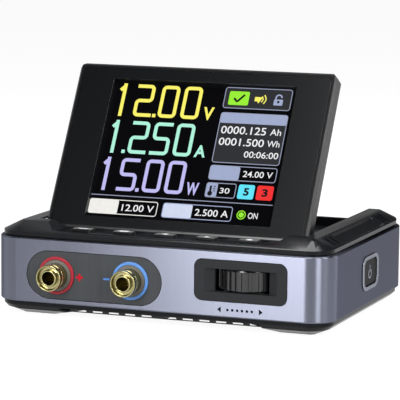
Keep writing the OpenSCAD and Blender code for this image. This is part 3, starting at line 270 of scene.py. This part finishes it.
finishes = {
    "anodised_aluminium": {"colour": (0.168, 0.177, 0.224), "metallic": 1, "roughness": (0.29, 0.33),
                           "stretch": (1, 1, 0.03), "cloudScale": 900, "grainScale": 3000, "tone": 0.02,
                           "bump": 0.05, "anisotropic": 0.85, "anisotropicTurn": 0.25,
                           "edgeTint": (0.4, 0.4, 0.41)},
    "bare_aluminium": {"colour": (0.62, 0.63, 0.65), "metallic": 1, "roughness": (0.35, 0.5), "bump": 0.2},
    "cover_plastic": {"colour": (0.006, 0.0065, 0.008), "roughness": (0.2, 0.26), "bump": 0.03,
                      "grainScale": 5000, "specular": 0.12, "sheen": 0.02},
    "pad_rubber": {"colour": (0.012, 0.012, 0.013), "roughness": (0.7, 0.85), "bump": 0.4, "specular": 0.2},
    "screw_steel": {"colour": (0.5, 0.5, 0.52), "metallic": 1, "roughness": (0.25, 0.4), "bump": 0.1},
    "hinge_steel": {"colour": (0.45, 0.45, 0.47), "metallic": 1, "roughness": (0.25, 0.35), "bump": 0.1},
    "panel_plastic": {"colour": (0.05, 0.054, 0.058), "metallic": 0.2, "roughness": (0.38, 0.5),
                      "stretch": (1, 1, 0.03), "cloudScale": 1500, "grainScale": 3000, "bump": 0.1,
                      "specular": 0.12},
    "bezel_plastic": {"colour": (0.02, 0.021, 0.023), "roughness": (0.34, 0.42), "bump": 0.1,
                      "specular": 0.1},
    "red_plastic": {"colour": (0.33, 0.013, 0.028), "roughness": (0.3, 0.4), "bump": 0.05, "specular": 0.3},
    "blue_plastic": {"colour": (0.1, 0.255, 0.62), "roughness": (0.3, 0.4), "bump": 0.05, "specular": 0.3},
    "gold_plated_brass": {"colour": (0.37, 0.335, 0.165), "metallic": 1, "roughness": (0.15, 0.21),
                          "bump": 0.05},
    "washer_grey": {"colour": (0.13, 0.125, 0.11), "roughness": (0.35, 0.5), "bump": 0.1, "specular": 0.3},
    "wheel_plastic": {"colour": (0.008, 0.008, 0.009), "roughness": (0.16, 0.22), "bump": 0.03,
                      "specular": 0.7},
    "part_black": {"colour": (0.015, 0.015, 0.016), "roughness": (0.45, 0.6), "bump": 0.2},
    "silver_ring": {"colour": (0.34, 0.355, 0.4), "metallic": 1, "edgeTint": (0.4, 0.4, 0.41),
                    "roughness": (0.25, 0.33), "bump": 0.05},
    "button_plastic": {"colour": (0.013, 0.0135, 0.0145), "roughness": (0.3, 0.4), "bump": 0.1,
                       "specular": 0.015},
    "key_plastic": {"colour": (0.005, 0.005, 0.0055), "roughness": (0.2, 0.28), "bump": 0.03,
                    "specular": 0.12, "sheen": 0.6},
    "switch_parts": {"colour": (0.45, 0.45, 0.46), "metallic": 0.8, "roughness": (0.3, 0.4), "bump": 0.1},
    "circuit_board": {"colour": (0.012, 0.12, 0.06), "roughness": (0.3, 0.4), "bump": 0.1},
    "frame_plastic": {"colour": (0.006, 0.0065, 0.007), "roughness": (0.28, 0.34), "bump": 0.01,
                      "specular": 0.2},
    "fascia_gloss": {"colour": (0.003, 0.0035, 0.004), "roughness": (0.22, 0.26), "bump": 0.01,
                     "specular": 0.45},
    "display_glass": {"colour": (0.002, 0.002, 0.0025), "roughness": (0.08, 0.12), "specular": 0.06},
    "cable_jacket": {"colour": (0.015, 0.015, 0.015), "roughness": (0.5, 0.6), "bump": 0.2},
    "inductor_powder": {"colour": (0.12, 0.12, 0.13), "roughness": (0.6, 0.8), "bump": 0.4},
    "can_aluminium": {"colour": (0.65, 0.66, 0.68), "metallic": 1, "roughness": (0.25, 0.35), "bump": 0.1},
    "shunt_alloy": {"colour": (0.5, 0.35, 0.26), "metallic": 1, "roughness": (0.3, 0.45), "bump": 0.1},
    "port_steel": {"colour": (0.55, 0.55, 0.56), "metallic": 1, "roughness": (0.25, 0.35), "bump": 0.1},
}
paints = {name: surface(name, look) for name, look in finishes.items()}
for name, node in nodes.items():
    for slot in node.material_slots:
        slot.material = paints[slotOf[name]]
print("finishes made:", len(paints))

# CAD pieces that get broken edges: width of the edge in mm, sharpest angle that stays smooth
edgeBreaks = {
    "housing_band": (0.06, 30), "top_cover": (0.12, 30), "base_cover": (0.1, 30), "foot_pads": (0.15, 30),
    "rear_panel": (0.08, 30), "socket_panel": (0.08, 30),
    "positive_collar": (0.1, 30), "negative_collar": (0.1, 30),
    "socket_washers": (0.06, 30), "positive_socket": (0.05, 25), "negative_socket": (0.05, 25),
    "wheel_bezel": (0.08, 30), "thumb_wheel": (0.08, 30),
    "power_bezel": (0.12, 30), "power_button": (0.15, 30),
    "key_1": (0.1, 30), "key_2": (0.1, 30), "key_3": (0.1, 30), "key_4": (0.1, 30), "key_5": (0.1, 30),
    "screen_frame": (0.12, 30), "screen_fascia": (0.06, 30), "screen_back": (0.12, 30),
    "dc_jack": (0.08, 30), "power_inlet": (0.05, 30), "data_port": (0.05, 30),
    "cover_screws": (0.05, 30), "screen_screws": (0.04, 30), "hinge_washers": (0.05, 30),
}
edgeLook = {
    "merge": 0.002,      # mm, corners this near become one
    "flat": 0.5,         # degrees, faces this level become one
    "segments": 2,
}


def finishedCopy(name, width, angle, look):
    bm = bmesh.new()
    bm.from_mesh(nodes[name].data)
    bmesh.ops.remove_doubles(bm, verts=bm.verts, dist=look["merge"] * mm)
    bmesh.ops.dissolve_limit(bm, angle_limit=math.radians(look["flat"]), verts=bm.verts, edges=bm.edges)
    mesh = bpy.data.meshes.new(name + ".finished")
    bm.to_mesh(mesh)
    bm.free()
    mesh.shade_smooth()
    mesh.set_sharp_from_angle(angle=math.radians(angle))
    mesh.materials.append(paints[slotOf[name]])
    piece = bpy.data.objects.new(name + ".finished", mesh)
    bpy.context.scene.collection.objects.link(piece)
    edges = piece.modifiers.new("edges", "BEVEL")
    edges.width = width * mm
    edges.segments = look["segments"]
    edges.limit_method = "ANGLE"
    edges.angle_limit = math.radians(angle)
    edges.use_clamp_overlap = True
    edges.miter_outer = "MITER_ARC"
    weights = piece.modifiers.new("weights", "WEIGHTED_NORMAL")
    weights.keep_sharp = False
    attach(piece, bodyOf[name])
    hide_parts(name)


for name, (width, angle) in edgeBreaks.items():
    finishedCopy(name, width, angle, edgeLook)
print("edges broken:", len(edgeBreaks))

# inks of the display picture and of the prints, as they look on screen (0 to 255)
screenInks = {
    "yellowInk": (250, 240, 105), "mintInk": (172, 240, 216), "lilacInk": (190, 186, 240),
    "whiteInk": (238, 238, 240), "frameInk": (150, 156, 180), "headInk": (158, 168, 200),
    "paleInk": (206, 214, 236), "creamInk": (236, 235, 230), "shadeInk": (40, 41, 45),
    "blackInk": (6, 6, 7),
    "greenInk": (150, 235, 50), "cyanInk": (96, 224, 246), "redInk": (238, 44, 44),
}
printInks = {
    "plusInk": (176, 28, 42), "minusInk": (88, 134, 208), "navyInk": (8, 9, 20),
    "iconInk": (168, 172, 186), "keyInk": (232, 232, 235),
}
screenInkLook = {"tone": 0.03, "cloudScale": 900, "roughness": (0.5, 0.6), "specular": 0.1, "glow": 0.95,
                 "lit": True}
printInkLook = {"tone": 0.05, "cloudScale": 900, "roughness": (0.4, 0.5), "specular": 0.02}


def mixInks(inks, look):
    for name, levels in inks.items():
        colour = Color([level / 255 for level in levels]).from_srgb_to_scene_linear()
        paints[name] = surface(name, {"colour": tuple(colour), **look})


mixInks(screenInks, screenInkLook)
mixInks(printInks, printInkLook)

sheets = {}     # one mesh for each ink of the picture or print that is being drawn
drawLook = {
    "cornerStep": 0.26,      # radians, of each step round a stroke's corner
    "arcStep": 12,           # degrees, of each step round an arc
    "weld": 0.02,            # ends of a closed stroke meet within this part of its width
    "boxCorner": 4,          # steps round a box's corner
    "discSides": 24,
    "letterSteps": 4,
}


def sheet(ink):
    if ink not in sheets:
        sheets[ink] = bmesh.new()
    return sheets[ink]


def layDown(place, body, name):
    for ink, bm in sheets.items():
        bm.normal_update()
        bmesh.ops.reverse_faces(bm, faces=[face for face in bm.faces if face.normal.z < 0])     # all face out
        bmesh.ops.transform(bm, matrix=place, space=Matrix(), verts=bm.verts)
        mesh = bpy.data.meshes.new(name + "." + ink)
        bm.to_mesh(mesh)
        bm.free()
        mesh.materials.append(paints[ink])
        piece = bpy.data.objects.new(name + "." + ink, mesh)
        bpy.context.scene.collection.objects.link(piece)
        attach(piece, body)
    sheets.clear()


def strokePath(ink, points, width, radius, level=0, closed=False):
    bm = sheet(ink)
    path = [Vector((u, -v, level)) for u, v in points]
    if closed:
        middle = (path[0] + path[1]) / 2
        path = [middle, *path[1:], path[0], middle]
    ahead = (path[1] - path[0]).normalized()
    across = Vector((-ahead.y, ahead.x, 0)) * width / 2
    ends = [bm.verts.new(path[0] + across), bm.verts.new(path[0] - across)]
    start = list(ends)
    edge = bm.edges.new(ends)
    used = 0                                         # how much of this leg the last corner took
    for i in range(1, len(path)):
        leg = path[i] - path[i - 1]
        turn = 0
        if i < len(path) - 1:
            nextLeg = path[i + 1] - path[i]
            turn = math.atan2(leg.cross(nextLeg).z, leg.dot(nextLeg))
        cut = radius * math.tan(abs(turn) / 2)
        grown = bmesh.ops.extrude_edge_only(bm, edges=[edge])["geom"]
        ends = [v for v in grown if isinstance(v, bmesh.types.BMVert)]
        bmesh.ops.translate(bm, vec=leg.normalized() * (leg.length - used - cut), verts=ends)
        edge = bm.edges.get(ends)
        if turn:
            ahead = leg.normalized()
            inward = Vector((-ahead.y, ahead.x, 0)) * (1 if turn > 0 else -1)
            centre = (ends[0].co + ends[1].co) / 2 + inward * radius
            last = bmesh.ops.spin(bm, geom=[*ends, edge], cent=centre, axis=(0, 0, 1), angle=turn,
                                  steps=max(2, round(abs(turn) / drawLook["cornerStep"])),
                                  use_merge=False)["geom_last"]
            ends = [v for v in last if isinstance(v, bmesh.types.BMVert)]
            edge = bm.edges.get(ends)
        used = cut
    if closed:
        bmesh.ops.remove_doubles(bm, verts=[*start, *ends], dist=width * drawLook["weld"])


def box(ink, corners, radius=0, border=0, level=0):
    bm = sheet(ink)
    u0, v0, u1, v1 = corners
    verts = bmesh.ops.create_grid(bm, x_segments=1, y_segments=1, size=0.5)["verts"]
    bmesh.ops.scale(bm, vec=(u1 - u0, v1 - v0, 1), verts=verts)
    bmesh.ops.translate(bm, vec=((u0 + u1) / 2, -(v0 + v1) / 2, level), verts=verts)
    face = verts[0].link_faces[0]
    if radius:
        cut = bmesh.ops.bevel(bm, geom=verts, offset=radius, offset_type="OFFSET", affect="VERTICES",
                              segments=drawLook["boxCorner"], profile=0.5, material=-1)
        around = [f for v in cut["verts"] for f in v.link_faces]
        face = max(around, key=lambda f: len(f.verts))       # the whole box, not a corner
    if border:
        face.normal_update()
        bmesh.ops.inset_region(bm, faces=[face], thickness=border, use_even_offset=True, use_boundary=True)
        bmesh.ops.delete(bm, geom=[face], context="FACES")


def disc(ink, centre, radius, level=0, hole=0, sides=drawLook["discSides"], turn=0, stretch=1):
    bm = sheet(ink)
    place = (Matrix.Translation((centre[0], -centre[1], level)) @ Matrix.Diagonal((1, stretch, 1, 1))
             @ Matrix.Rotation(math.radians(turn), 4, "Z"))
    if hole:
        rim = bmesh.ops.create_circle(bm, segments=sides, radius=radius, matrix=place)["verts"]
        rim += bmesh.ops.create_circle(bm, segments=sides, radius=hole, matrix=place)["verts"]
        bmesh.ops.bridge_loops(bm, edges=list(dict.fromkeys(e for v in rim for e in v.link_edges)))
    else:
        bmesh.ops.create_circle(bm, cap_ends=True, segments=sides, radius=radius, matrix=place)


def arc(ink, centre, radius, width, start, sweep, level=0):
    bm = sheet(ink)
    middle = Vector((centre[0], -centre[1], level))
    way = Vector((math.cos(math.radians(start)), math.sin(math.radians(start)), 0))
    ends = [bm.verts.new(middle + way * (radius + side * width / 2)) for side in (-1, 1)]
    bmesh.ops.spin(bm, geom=[*ends, bm.edges.new(ends)], cent=middle, axis=(0, 0, 1),
                   angle=math.radians(sweep), steps=max(4, round(sweep / drawLook["arcStep"])),
                   use_merge=False)


def letters(ink, words, corners, level=0, weight=0.0):
    curve = bpy.data.curves.new("letters", "FONT")
    curve.body = words
    curve.offset = weight
    curve.resolution_u = drawLook["letterSteps"]
    holder = bpy.data.objects.new("letters", curve)
    mesh = bpy.data.meshes.new_from_object(holder)
    low = [min(v.co[i] for v in mesh.vertices) for i in (0, 1)]
    high = [max(v.co[i] for v in mesh.vertices) for i in (0, 1)]
    u0, v0, u1, v1 = corners
    grow = Matrix.Diagonal(((u1 - u0) / (high[0] - low[0]), (v1 - v0) / (high[1] - low[1]), 1, 1))
    mesh.transform(Matrix.Translation((u0, -v1, level)) @ grow @ Matrix.Translation((-low[0], -low[1], 0)))
    sheet(ink).from_mesh(mesh)
    bpy.data.meshes.remove(mesh)
    bpy.data.objects.remove(holder)
    bpy.data.curves.remove(curve)


# the picture is laid out on a canvas of 1152 x 864 units, across from the left and down from the top
pictureLook = {
    "hinge": (0, -19.14, 25.3),        # a point of the display plane, and its lean
    "lean": 60,
    "topLeft": (-29.8, 48.55, 0.86),   # of the canvas on that plane, mm
    "unit": (0.05074, 0.052025),       # mm to a unit, across and down
    "layer": 0.012,                    # mm from one layer to the next
    "stroke": 22,                      # width of a figure's legs
    "corner": 20,                      # radius where they turn
    "cell": (116, 206),                # width and height of a figure
    "point": (22, 4),                  # side and corner radius of the point in a row
    "rows": [                          # ink, figures, left edge of each, top, left edge of the point
        ("yellowInk", "1200", (14, 157, 317, 462), 20, 284),
        ("mintInk", "1250", (14, 173, 317, 462), 256, 137),
        ("lilacInk", "1500", (10, 155, 315, 457), 492, 277),
    ],
    "figures": {                       # legs of each figure in a cell, as parts of its width and height
        "0": [((0, 0), (1, 0), (1, 1), (0, 1))],
        "1": [((0.54, -0.07), (0.54, 1.07)), ((0.54, 0.02), (0.26, 0.17))],
        "2": [((-0.1, 0), (1, 0), (1, 0.5), (0, 0.5), (0, 1), (1.14, 1))],
        "5": [((1.14, 0), (0, 0), (0, 0.5), (1, 0.5), (1, 1), (-0.14, 1))],
    },
    "boxes": [                         # ink, corners, radius, border, layer
        ("shadeInk", (722, 14, 1138, 142), 14, 0, 0), ("frameInk", (719, 11, 1141, 145), 17, 5, 1),
        ("shadeInk", (722, 174, 1138, 485), 14, 0, 0), ("frameInk", (719, 171, 1141, 488), 17, 5, 1),
        ("headInk", (724, 176, 1136, 238), 8, 0, 2),
        ("headInk", (722, 506, 908, 592), 14, 0, 0), ("frameInk", (719, 503, 1138, 595), 17, 5, 1),
        ("headInk", (721, 615, 790, 701), 12, 0, 0), ("frameInk", (718, 612, 906, 704), 15, 5, 1),
        ("cyanInk", (920, 614, 1020, 703), 12, 0, 1), ("redInk", (1035, 614, 1137, 703), 12, 0, 1),
        ("greenInk", (749, 36, 875, 123), 10, 0, 2),
        ("frameInk", (4, 727, 1148, 732), 0, 0, 1),
        ("creamInk", (6, 757, 192, 843), 12, 0, 0), ("creamInk", (4, 754, 442, 846), 16, 5, 1),
        ("paleInk", (476, 757, 660, 843), 12, 0, 0), ("headInk", (474, 754, 911, 846), 16, 5, 1),
        ("yellowInk", (912, 66, 934, 94), 3, 0, 3),              # loudspeaker
        ("headInk", (1033, 76, 1089, 114), 6, 0, 3),             # padlock
    ],
    "words": [                         # ink, letters, corners, weight
        ("yellowInk", "V", (606, 145, 673, 227), 0.03), ("mintInk", "A", (600, 386, 671, 462), 0.03),
        ("lilacInk", "W", (596, 620, 673, 699), 0.03),
        ("whiteInk", "0000.125", (740, 257, 1022, 305), 0.008),
        ("whiteInk", "0001.500", (740, 331, 1022, 378), 0.008),
        ("whiteInk", "Ah", (1048, 262, 1116, 302), 0.008), ("whiteInk", "Wh", (1042, 336, 1120, 375), 0.008),
        ("whiteInk", "00:06:00", (912, 408, 1125, 448), 0.008),
        ("whiteInk", "24.00 V", (930, 530, 1114, 568), 0.008),
        ("whiteInk", "30", (806, 642, 868, 676), 0.008),
        ("blackInk", "5", (954, 634, 988, 682), 0.04), ("blackInk", "3", (1068, 634, 1104, 682), 0.04),
        ("whiteInk", "12.00 V", (217, 780, 420, 822), 0.008),
        ("whiteInk", "2.500 A", (680, 780, 888, 822), 0.008),
        ("whiteInk", "ON", (1010, 783, 1070, 820), 0.008),
    ],
    "strokes": [                       # ink, points, width, corner radius
        ("blackInk", [(782, 80), (804, 102), (846, 56)], 13, 7),                     # tick
        ("yellowInk", [(956, 62), (966, 80), (956, 98)], 7, 14),                     # loudspeaker
        ("yellowInk", [(970, 52), (986, 80), (970, 108)], 7, 26),
        ("headInk", [(1043, 78), (1043, 48), (1079, 48), (1079, 64)], 9, 17),        # padlock
        ("blackInk", [(748, 632), (748, 676)], 13, 0),                               # thermometer
        ("blackInk", [(764, 636), (778, 636)], 5, 0), ("blackInk", [(764, 650), (778, 650)], 5, 0),
        ("blackInk", [(764, 664), (778, 664)], 5, 0),
    ],
    "discs": [                         # ink, middle, radius, layer and what else differs
        ("yellowInk", (938, 80), 27, 3, {"sides": 3, "turn": 180}),                  # loudspeaker
        ("blackInk", (1061, 92), 8, 4, {}),                                          # padlock
        ("blackInk", (748, 680), 15, 3, {}),                                         # thermometer
        ("greenInk", (968, 800), 28, 3, {"hole": 22}), ("greenInk", (968, 800), 16, 3, {}),      # lamp
    ],
    "lettersLayer": 3,                 # of words and strokes
}


def drawFigure(ink, kind, left, top, look):
    stroke, (width, height) = look["stroke"], look["cell"]
    for leg in look["figures"][kind]:
        points = [(left + stroke / 2 + x * (width - stroke), top + stroke / 2 + y * (height - stroke))
                  for x, y in leg]
        strokePath(ink, points, stroke, look["corner"], closed=kind == "0")


def drawPicture(look):
    side, corner = look["point"]
    for ink, figures, lefts, top, point in look["rows"]:
        for kind, left in zip(figures, lefts):
            drawFigure(ink, kind, left, top, look)
        foot = top + look["cell"][1]
        box(ink, (point, foot - side, point + side, foot), corner)
    for ink, corners, radius, border, layer in look["boxes"]:
        box(ink, corners, radius, border, layer)
    for ink, words, corners, weight in look["words"]:
        letters(ink, words, corners, look["lettersLayer"], weight)
    for ink, points, width, radius in look["strokes"]:
        strokePath(ink, points, width, radius, level=look["lettersLayer"])
    for ink, middle, radius, layer, rest in look["discs"]:
        disc(ink, middle, radius, layer, **rest)
    x, y, z = look["hinge"]
    place = (Matrix.Translation((x * mm, y * mm, z * mm))
             @ Matrix.Rotation(math.radians(look["lean"]), 4, "X")
             @ Matrix.Translation([c * mm for c in look["topLeft"]])
             @ Matrix.Diagonal((look["unit"][0] * mm, look["unit"][1] * mm, look["layer"] * mm, 1)))
    layDown(place, "display", "picture")


drawPicture(pictureLook)
print("display picture drawn")

# prints on the case, in mm: across and down from the middle of the frame, or of the key or button
printLook = {
    "lift": 0.01,                                 # off the surface, for each layer
    "plus": ((-24.56, -12.9), 2.2, 0.7),          # middle, length, thickness
    "minus": ((-15.9, -13.0), 2.0, 0.6),
    "arrows": ((19.7, 90), (32.15, -90)),         # place across, turn
    "arrowSize": (0.74, 1.4),                     # radius, stretch
    "dots": (22.11, 23.59, 25.13, 26.6, 28.11, 29.61),
    "dotRadius": 0.4,
    "turnMarkHeight": 6.66,                       # of arrows and dots above the floor
    "icon": (1.3, 0.38, 125, 290),                # power mark: radius, stroke, start and sweep of its ring
    "iconDrop": 0.5,                              # of its ring below the middle of the button
    "iconBar": (0.2, -2.1),                       # foot and top of its bar, down from that middle
    "keyBar": (3.0, 0.8),                         # length and width of a key's bar
    "keyBarsApart": 0.9,
    "keyArrow": 1.25,                             # radius
    "keyDot": 1.0,
}


def drawPrints(look):
    front = Matrix.Rotation(math.radians(90), 4, "X") @ Matrix.Diagonal((mm, mm, look["lift"] * mm, 1))
    (u, v), length, thick = look["plus"]
    box("plusInk", (u - length / 2, v - thick / 2, u + length / 2, v + thick / 2), level=1)
    box("plusInk", (u - thick / 2, v - length / 2, u + thick / 2, v + length / 2), level=2)
    (u, v), length, thick = look["minus"]
    box("minusInk", (u - length / 2, v - thick / 2, u + length / 2, v + thick / 2), level=1)
    plane = Matrix.Translation((0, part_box("socket_panel")[0].y, 0))
    layDown(plane @ front, bodyOf["socket_panel"], "polarity")
    radius, stretch = look["arrowSize"]
    for u, turn in look["arrows"]:
        disc("navyInk", (u, -look["turnMarkHeight"]), radius, 1, sides=3, turn=turn, stretch=stretch)
    for u in look["dots"]:
        disc("navyInk", (u, -look["turnMarkHeight"]), look["dotRadius"], 1)
    plane = Matrix.Translation((0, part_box("housing_band")[0].y, 0))
    layDown(plane @ front, bodyOf["housing_band"], "turn_mark")
    radius, stroke, start, sweep = look["icon"]
    arc("iconInk", (0, look["iconDrop"]), radius, stroke, start, sweep, 1)
    strokePath("iconInk", [(0, v) for v in look["iconBar"]], stroke, 0, level=2)
    low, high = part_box("power_button")
    plane = (Matrix.Translation((high.x, (low.y + high.y) / 2, (low.z + high.z) / 2))
             @ Matrix.Rotation(math.radians(90), 4, "Z"))
    layDown(plane @ front, bodyOf["power_button"], "power_mark")


def drawKeyMarks(look):
    length, width = look["keyBar"]
    bars = {1: (0,), 2: (-look["keyBarsApart"] / 2, look["keyBarsApart"] / 2)}
    arrows = {3: 90, 4: -90}
    for i in range(1, 6):
        low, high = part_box(f"key_{i}")
        for v in bars.get(i, ()):
            box("keyInk", (-length / 2, v - width / 2, length / 2, v + width / 2))
        if i in arrows:
            disc("keyInk", (0, 0), look["keyArrow"], sides=3, turn=arrows[i])
        if i == 5:
            disc("keyInk", (0, 0), look["keyDot"])
        middle = (low + high) / 2
        place = (Matrix.Translation((middle.x, middle.y, high.z + look["lift"] * mm))
                 @ Matrix.Diagonal((mm, mm, mm, 1)))
        layDown(place, bodyOf[f"key_{i}"], f"key_mark_{i}")


drawPrints(printLook)
drawKeyMarks(printLook)
print("prints laid down")
